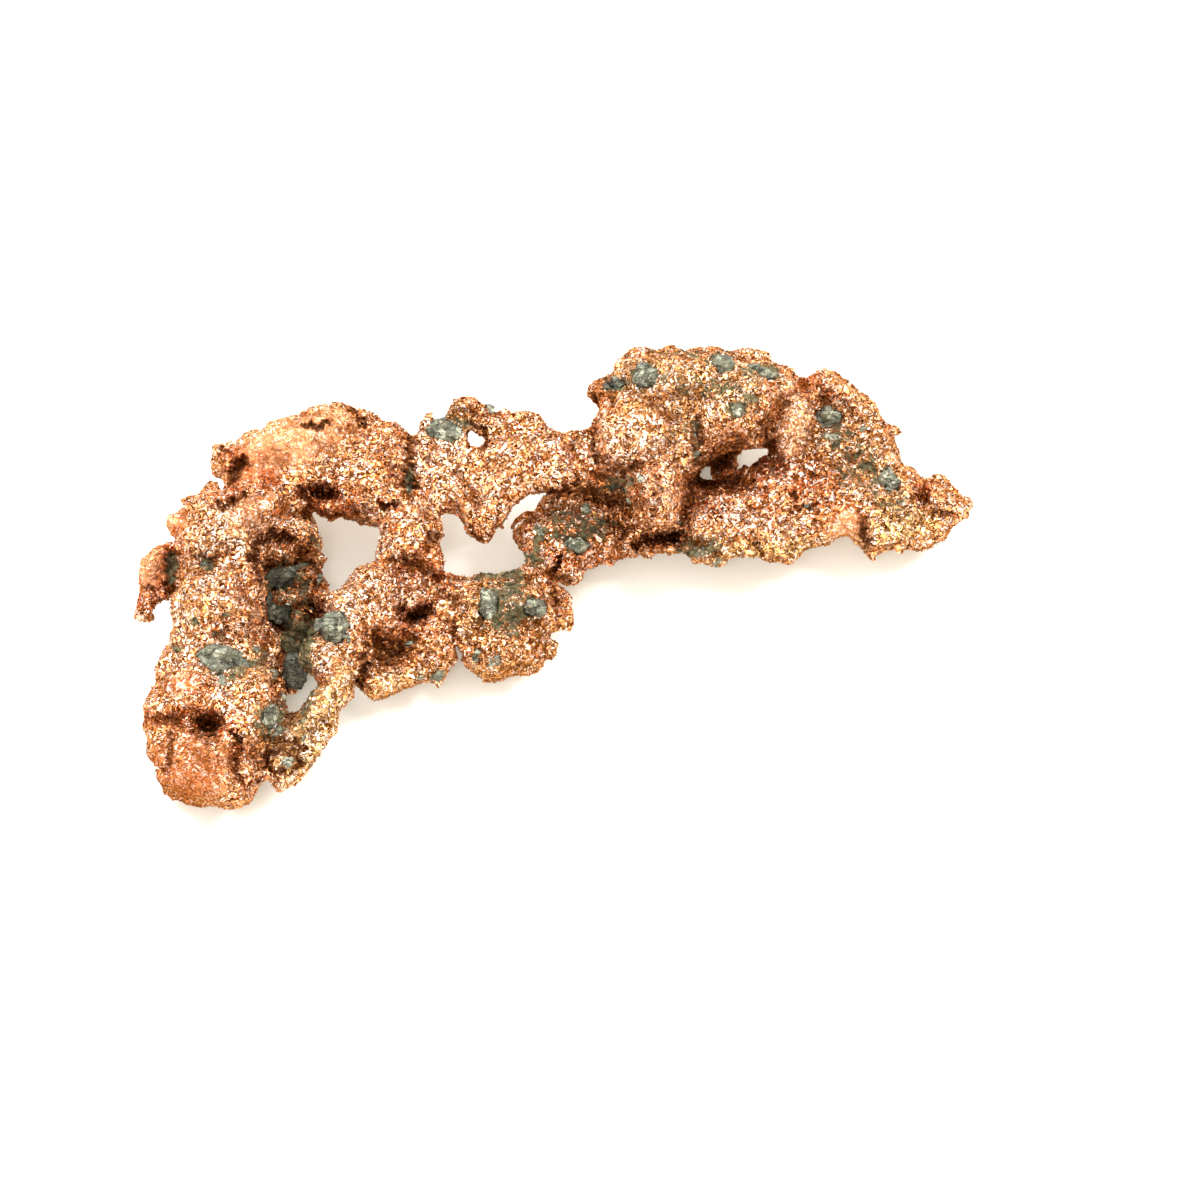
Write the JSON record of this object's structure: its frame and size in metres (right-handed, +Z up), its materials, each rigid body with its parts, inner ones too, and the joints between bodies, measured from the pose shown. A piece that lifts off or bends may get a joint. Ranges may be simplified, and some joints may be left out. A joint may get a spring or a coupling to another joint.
{
  "type": "native copper nugget",
  "caption": "Lumpy, holed mass of native copper with thin lobes, overhangs and pits, set with grains of grey-green matrix rock.",
  "frame": {"origin": "centre of the nugget's footprint box, on the surface it rests on", "axes": "+X along the nugget's length, from the thick limb to the pointed fin; +Y from the side it is looked at from to the back; +Z up"},
  "size_m": [0.0842, 0.0536, 0.018],
  "materials": {
    "copper": "bright hackly native copper, with darker red-brown hollows",
    "matrix": "dull grey-green broken rock"
  },
  "bodies": {
    "root": {"copper_nugget": "copper", "matrix_arm_dark": "matrix", "matrix_arm_knob": "matrix", "matrix_band": "matrix", "matrix_bar_top": "matrix", "matrix_fin_heart": "matrix", "matrix_fin_low": "matrix", "matrix_flank_lower": "matrix", "matrix_flank_middle": "matrix", "matrix_flank_upper": "matrix", "matrix_hump_crest": "matrix", "matrix_hump_left": "matrix", "matrix_hump_oval": "matrix", "matrix_hump_ridge": "matrix", "matrix_limb_foot": "matrix", "matrix_limb_oval": "matrix", "matrix_sheet_rim": "matrix"}
  },
  "joints": []
}
